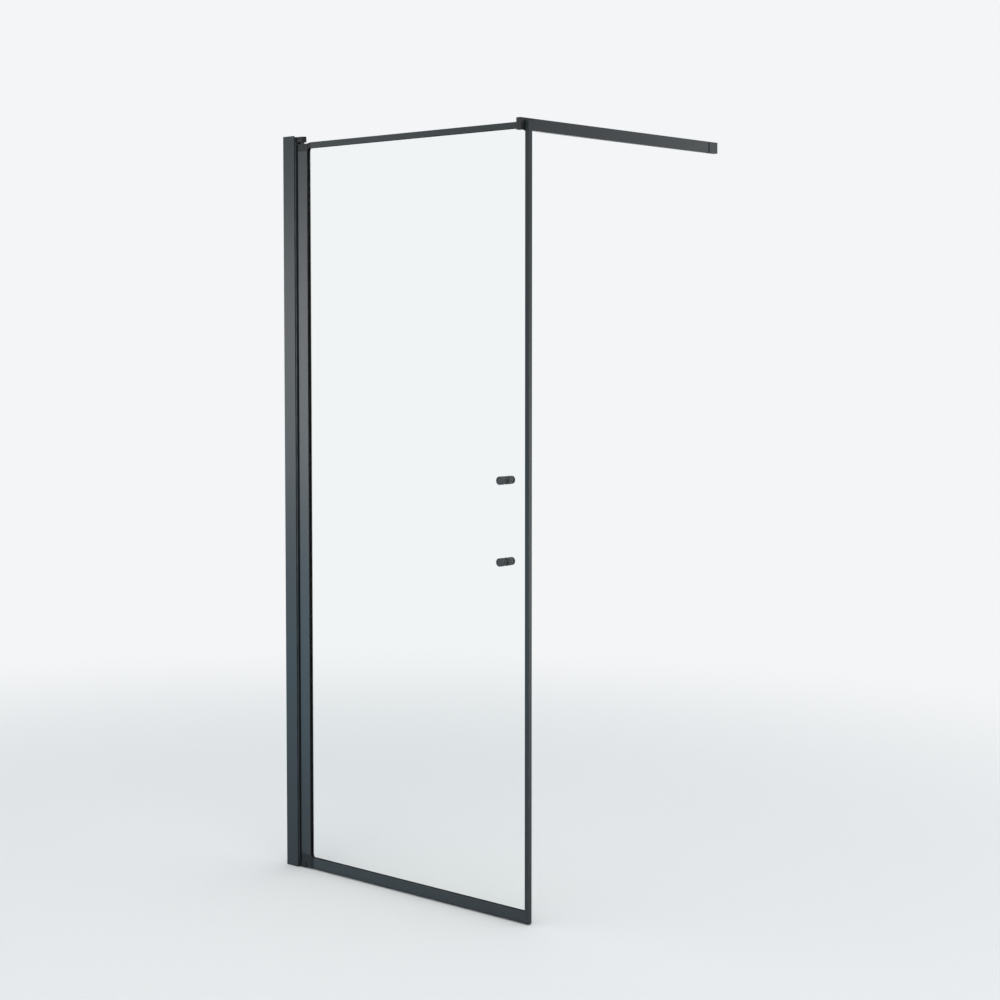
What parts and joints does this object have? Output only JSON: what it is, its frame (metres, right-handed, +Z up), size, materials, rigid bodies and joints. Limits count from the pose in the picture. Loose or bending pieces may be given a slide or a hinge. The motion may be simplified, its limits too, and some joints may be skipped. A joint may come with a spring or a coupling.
{
  "type": "shower screen",
  "caption": "Framed clear-glass shower screen that pivots on an adjustable wall profile, with through-glass knobs and a flat support arm to a second wall.",
  "frame": {"origin": "on the wall face of the channel at floor level, in the plane of the glass", "axes": "+X from the wall along the panel, +Y from the glass towards the second wall, +Z up"},
  "size_m": [0.875, 0.8225, 2],
  "materials": {
    "profile_coat": "matte black powder coat",
    "casting_coat": "matte black coat on castings",
    "clear_glass": "clear polished toughened glass",
    "seal_rubber": "soft matte black",
    "pin_steel": "black oxide on ground steel",
    "bearing_plastic": "moulded matte black",
    "washer_plastic": "soft grey plastic",
    "key_aluminium": "mill finish",
    "screw_steel": "blackened steel"
  },
  "bodies": {
    "wall_channel": {"wall_channel": "profile_coat", "adjusting_screws": "screw_steel", "screw_caps": "bearing_plastic"},
    "hinge_post": {"hinge_post": "profile_coat", "hinge_seal": "seal_rubber", "top_pivot_bracket": "casting_coat", "bottom_pivot_bracket": "casting_coat", "bracket_screws": "screw_steel", "top_pivot_pin": "pin_steel", "bottom_pivot_pin": "pin_steel"},
    "panel": {"hinge_stile": "profile_coat", "free_stile": "profile_coat", "top_rail": "profile_coat", "bottom_rail": "profile_coat", "top_corner_block": "casting_coat", "bottom_corner_block": "casting_coat", "top_pivot_bush": "bearing_plastic", "bottom_pivot_bush": "bearing_plastic", "frame_screws": "screw_steel", "top_corner_key": "key_aluminium", "bottom_corner_key": "key_aluminium", "glass_pane": "clear_glass", "glazing_gaskets": "seal_rubber", "bottom_sweep": "seal_rubber", "outer_knobs": "casting_coat", "inner_knobs": "casting_coat", "knob_buffers": "seal_rubber", "knob_studs": "pin_steel", "knob_sleeves": "washer_plastic", "knob_washers": "washer_plastic"},
    "support_arm": {"arm_saddle": "casting_coat", "clamp_liner": "seal_rubber", "clamp_screws": "screw_steel", "arm_tube": "profile_coat", "arm_screw": "screw_steel", "reach_screw": "screw_steel"},
    "wall_fitting": {"arm_wall_fitting": "casting_coat"}
  },
  "joints": [
    {"name": "width_adjust", "type": "slide", "parent": "wall_channel", "child": "hinge_post", "axis": [1, 0, 0], "range_m": [-0.0035, 0.0165]},
    {"name": "panel_swing", "type": "hinge", "parent": "hinge_post", "child": "panel", "pos_m": [0.064, 0, 0], "axis": [0, 0, 1], "range_deg": [-90, 0]},
    {"name": "arm_position", "type": "slide", "parent": "panel", "child": "support_arm", "axis": [1, 0, 0], "range_m": [-0.6, 0]},
    {"name": "arm_length", "type": "slide", "parent": "support_arm", "child": "wall_fitting", "axis": [0, 1, 0], "range_m": [-0.005, 0.015]}
  ]
}
